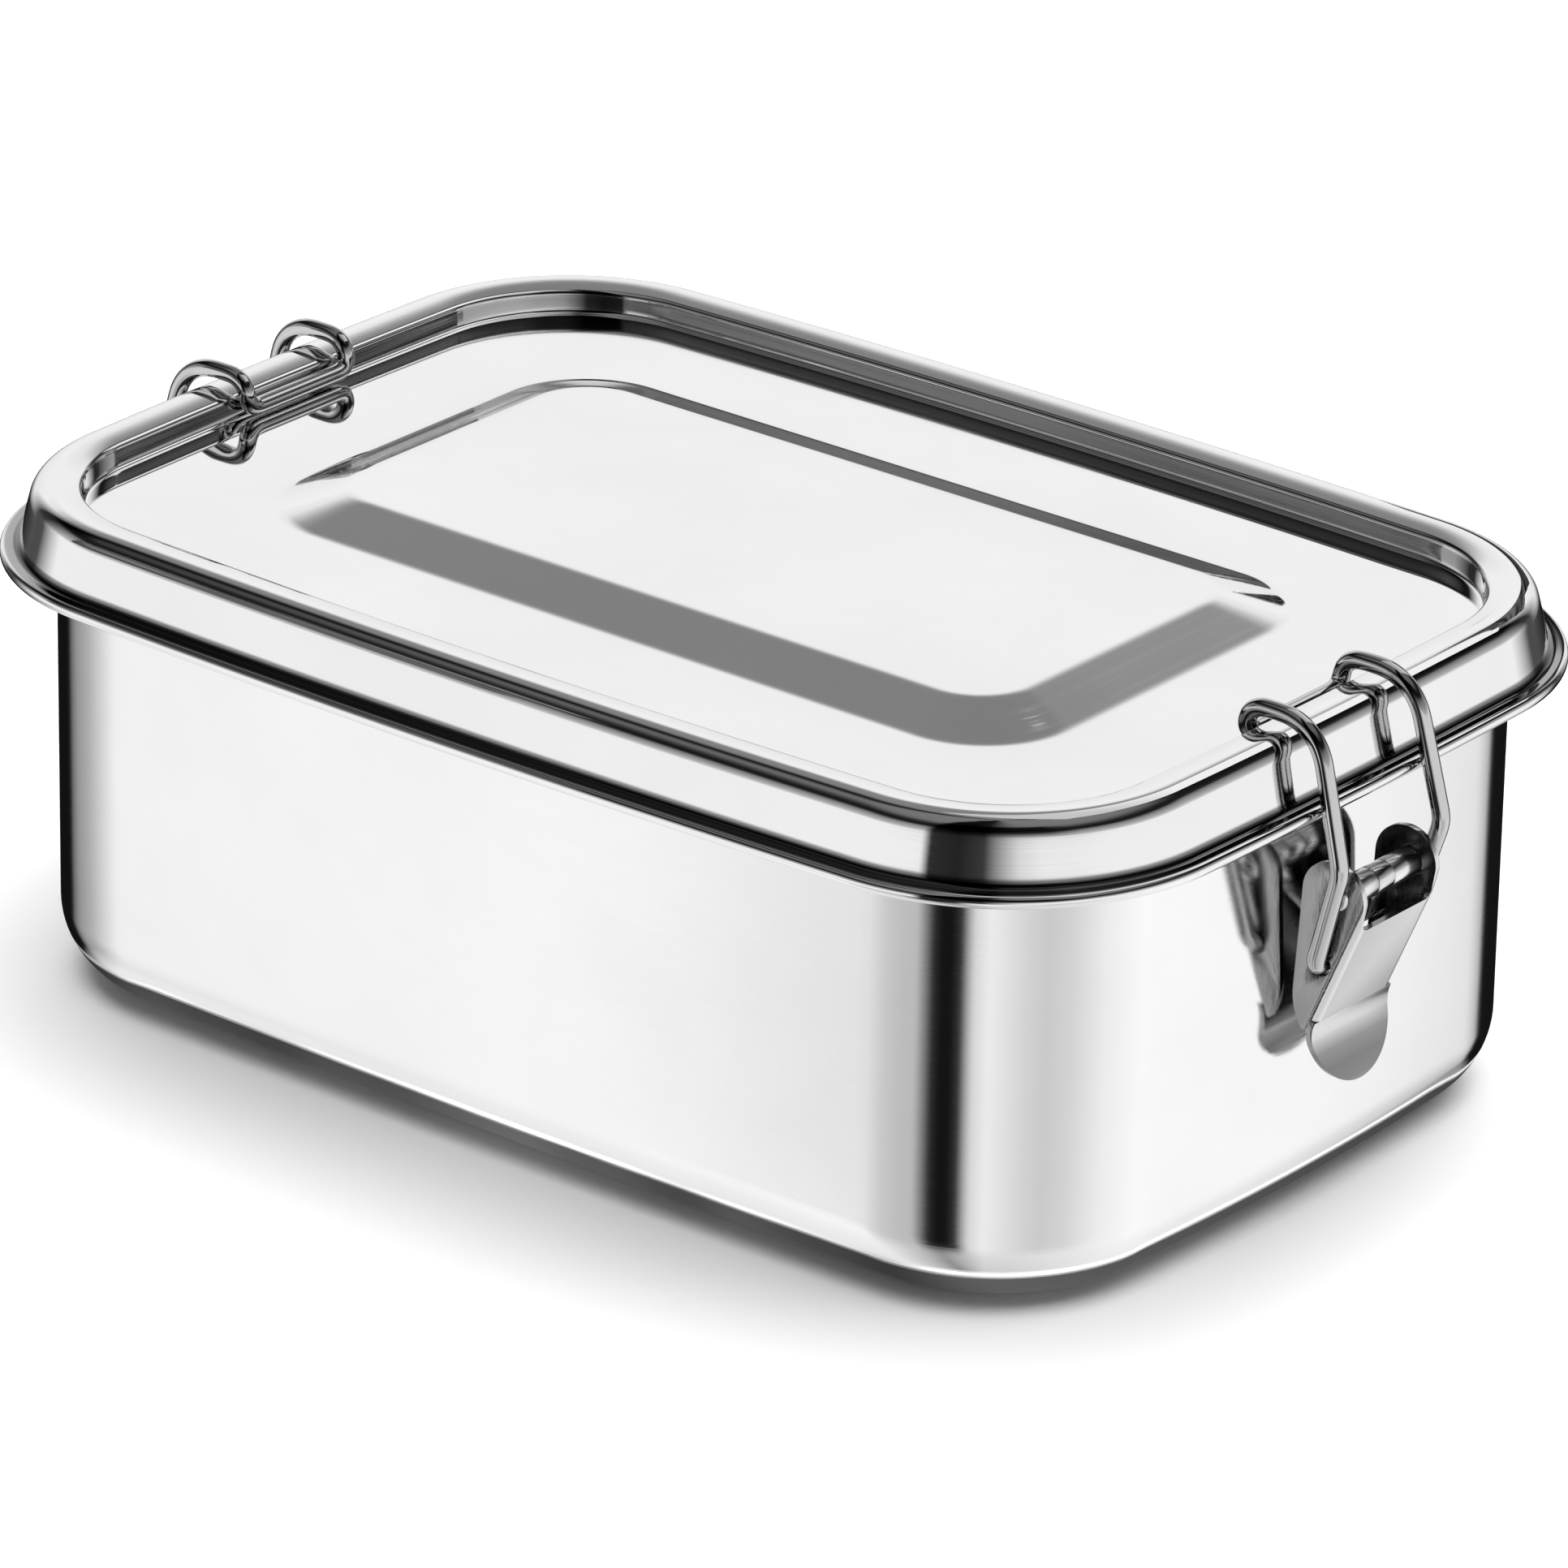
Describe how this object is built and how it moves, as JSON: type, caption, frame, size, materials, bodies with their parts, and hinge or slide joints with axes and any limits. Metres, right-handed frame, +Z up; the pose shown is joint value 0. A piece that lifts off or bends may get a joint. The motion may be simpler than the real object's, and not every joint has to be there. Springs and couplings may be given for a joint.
{
  "type": "lunch box",
  "caption": "Rectangular stainless steel lunch box with rounded corners and a lid with a raised field, held shut by a wire clip at each end.",
  "frame": {"origin": "centre of the tub's underside", "axes": "+X along the length to the right-hand clip, +Y to the back long side, +Z up through the lid"},
  "size_m": [0.2104, 0.1398, 0.0762],
  "materials": {
    "tub_steel": "fine horizontal brushing over polished stainless steel",
    "lid_steel": "polished stainless steel, satin on the panel",
    "clip_steel": "satin pressed stainless sheet",
    "wire_steel": "bright drawn stainless spring wire",
    "silicone": "translucent white silicone, satin"
  },
  "bodies": {
    "box": {"tub": "tub_steel", "left_bracket": "clip_steel", "right_bracket": "clip_steel"},
    "lid_set": {"lid": "lid_steel", "lid_seal": "silicone"},
    "right_lever_set": {"right_lever": "clip_steel", "right_pivot_rivet": "clip_steel", "right_front_sleeve": "clip_steel", "right_back_sleeve": "clip_steel"},
    "right_bail_set": {"right_bail": "wire_steel"},
    "left_lever_set": {"left_lever": "clip_steel", "left_pivot_rivet": "clip_steel", "left_front_sleeve": "clip_steel", "left_back_sleeve": "clip_steel"},
    "left_bail_set": {"left_bail": "wire_steel"}
  },
  "joints": [
    {"name": "lid_lift", "type": "slide", "parent": "box", "child": "lid_set", "axis": [0, 0, 1], "range_m": [0, 0.105]},
    {"name": "right_lever_hinge", "type": "hinge", "parent": "box", "child": "right_lever_set", "pos_m": [0.1009, 0, 0.0505], "axis": [0, -1, 0], "range_deg": [0, 150]},
    {"name": "right_bail_hinge", "type": "hinge", "parent": "right_lever_set", "child": "right_bail_set", "pos_m": [0.0988, 0, 0.04035], "axis": [0, -1, 0], "range_deg": [-330, 0]},
    {"name": "left_lever_hinge", "type": "hinge", "parent": "box", "child": "left_lever_set", "pos_m": [-0.1009, 0, 0.0505], "axis": [0, 1, 0], "range_deg": [0, 150]},
    {"name": "left_bail_hinge", "type": "hinge", "parent": "left_lever_set", "child": "left_bail_set", "pos_m": [-0.0988, 0, 0.04035], "axis": [0, 1, 0], "range_deg": [-330, 0]}
  ],
  "couplings": [
    {"joint": "right_bail_hinge", "follows": "right_lever_hinge", "ratio": -2.2},
    {"joint": "left_bail_hinge", "follows": "left_lever_hinge", "ratio": -2.2}
  ]
}
